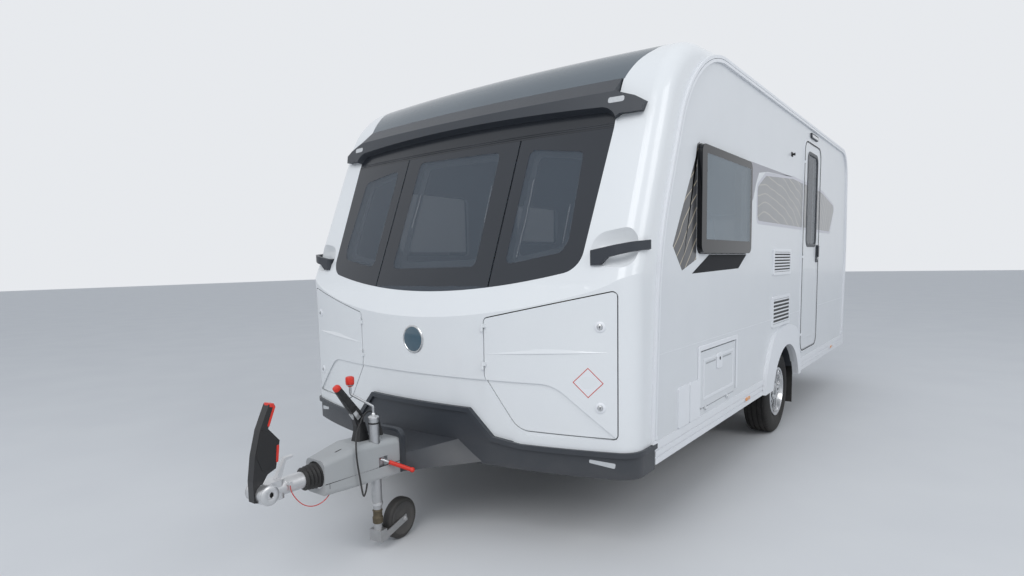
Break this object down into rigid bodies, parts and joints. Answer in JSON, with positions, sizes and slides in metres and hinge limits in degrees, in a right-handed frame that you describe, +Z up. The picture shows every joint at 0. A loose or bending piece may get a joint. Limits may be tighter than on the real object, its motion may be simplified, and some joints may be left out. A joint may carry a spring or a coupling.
{
  "type": "travel caravan",
  "caption": "Single-axle touring caravan with a hollow cabin, hinged doors and lockers, A-frame hitch with stabiliser coupling and a swivelling jockey wheel.",
  "frame": {"origin": "on the ground, midway along the overall length and across the overall width", "axes": "+Z is up, -Y points to the towing end, +X points to the side with the entrance door"},
  "size_m": [2.298, 6.2718, 2.56],
  "materials": {
    "alloy": "bright cast alloy",
    "black_metal": "black painted steel",
    "black_rubber": "black moulded rubber",
    "clear_pane": "tinted acrylic",
    "cord_black": "black cable sheath",
    "cord_red": "red coated wire",
    "dark_plastic": "dark grey moulded plastic",
    "floor_board": "bonded plywood floor",
    "galvanised": "galvanised steel",
    "grey_plastic": "light grey moulded plastic",
    "lamp_red": "red lamp lens",
    "oak_board": "light oak veneer",
    "red_plastic": "red handle grip",
    "smoked_pane": "smoked acrylic",
    "trim_moulding": "white moulded plastic trim",
    "trim_white": "white painted extrusion",
    "tyre_rubber": "black rubber",
    "upholstery": "woven upholstery",
    "wall_white": "satin white sheet",
    "white_shell": "glossy white moulding"
  },
  "bodies": {
    "caravan": {"arch_trims": "trim_moulding", "awning_rails": "trim_white", "axle": "galvanised", "breakaway_cable": "cord_red", "chassis_rails": "galvanised", "clamp_lever": "red_plastic", "corner_steadies": "galvanised", "coupling_head": "galvanised", "coupling_lever": "galvanised", "door_frame": "trim_white", "drawbar": "galvanised", "drawbar_legs": "galvanised", "far_side_wall": "wall_white", "floor": "floor_board", "front_brow": "dark_plastic", "front_bumper": "dark_plastic", "front_lamps": "clear_pane", "front_lintel": "dark_plastic", "front_moulding": "white_shell", "front_windows": "clear_pane", "furniture": "oak_board", "gaiter": "black_rubber", "gas_locker": "oak_board", "grab_handles": "dark_plastic", "handbrake": "black_metal", "hitch_cover": "grey_plastic", "hitch_fairing": "dark_plastic", "jockey_crank": "galvanised", "jockey_tube": "galvanised", "locker_boxes": "dark_plastic", "mudflaps": "black_rubber", "near_side_wall": "wall_white", "rear_lamps": "lamp_red", "rear_panel": "white_shell", "rear_window": "smoked_pane", "roof": "wall_white", "roof_light": "smoked_pane", "service_hatches": "trim_moulding", "settee_bases": "oak_board", "settee_cushions": "upholstery", "side_skirts": "trim_moulding", "side_windows": "smoked_pane", "skylight": "smoked_pane", "stabiliser_handle": "black_metal", "supply_lead": "cord_black", "wall_vents": "trim_moulding", "wheel_boxes": "dark_plastic"},
    "entrance_door": {"door_panel": "wall_white", "door_window": "clear_pane", "door_handle": "dark_plastic"},
    "near_locker": {"near_locker_door": "white_shell"},
    "far_locker": {"far_locker_door": "white_shell"},
    "battery_hatch": {"battery_lid": "wall_white"},
    "service_hatch": {"service_door": "wall_white"},
    "near_wheel": {"near_tyre": "tyre_rubber", "near_rim": "alloy"},
    "far_wheel": {"far_tyre": "tyre_rubber", "far_rim": "alloy"},
    "jockey_caster": {"jockey_fork": "galvanised"},
    "jockey_roller": {"jockey_wheel": "black_rubber"}
  },
  "joints": [
    {"name": "entrance_door_hinge", "type": "hinge", "parent": "caravan", "child": "entrance_door", "pos_m": [1.137, 1.016, 1.4], "axis": [0, 0, -1], "range_deg": [0, 150]},
    {"name": "near_locker_hinge", "type": "hinge", "parent": "caravan", "child": "near_locker", "pos_m": [0.436, -2.201, 0.8], "axis": [0, 0, -1], "range_deg": [0, 110]},
    {"name": "far_locker_hinge", "type": "hinge", "parent": "caravan", "child": "far_locker", "pos_m": [-0.436, -2.201, 0.8], "axis": [0, 0, 1], "range_deg": [0, 110]},
    {"name": "battery_lid_hinge", "type": "hinge", "parent": "caravan", "child": "battery_hatch", "pos_m": [1.131, -0.953, 0.538], "axis": [0, 1, 0], "range_deg": [0, 90]},
    {"name": "service_door_hinge", "type": "hinge", "parent": "caravan", "child": "service_hatch", "pos_m": [-1.131, 2.26, 0.543], "axis": [0, -1, 0], "range_deg": [0, 90]},
    {"name": "near_wheel_spin", "type": "hinge", "parent": "caravan", "child": "near_wheel", "pos_m": [0.99, 0.55, 0.315], "axis": [1, 0, 0], "continuous": true},
    {"name": "far_wheel_spin", "type": "hinge", "parent": "caravan", "child": "far_wheel", "pos_m": [-0.99, 0.55, 0.315], "axis": [1, 0, 0], "continuous": true},
    {"name": "jockey_swivel", "type": "hinge", "parent": "caravan", "child": "jockey_caster", "pos_m": [0.064, -2.553, 0.2], "axis": [0, 0, 1], "continuous": true},
    {"name": "jockey_wheel_spin", "type": "hinge", "parent": "jockey_caster", "child": "jockey_roller", "pos_m": [0.04832, -2.40382, 0.1], "axis": [0.9945, 0.1045, 0], "continuous": true}
  ]
}
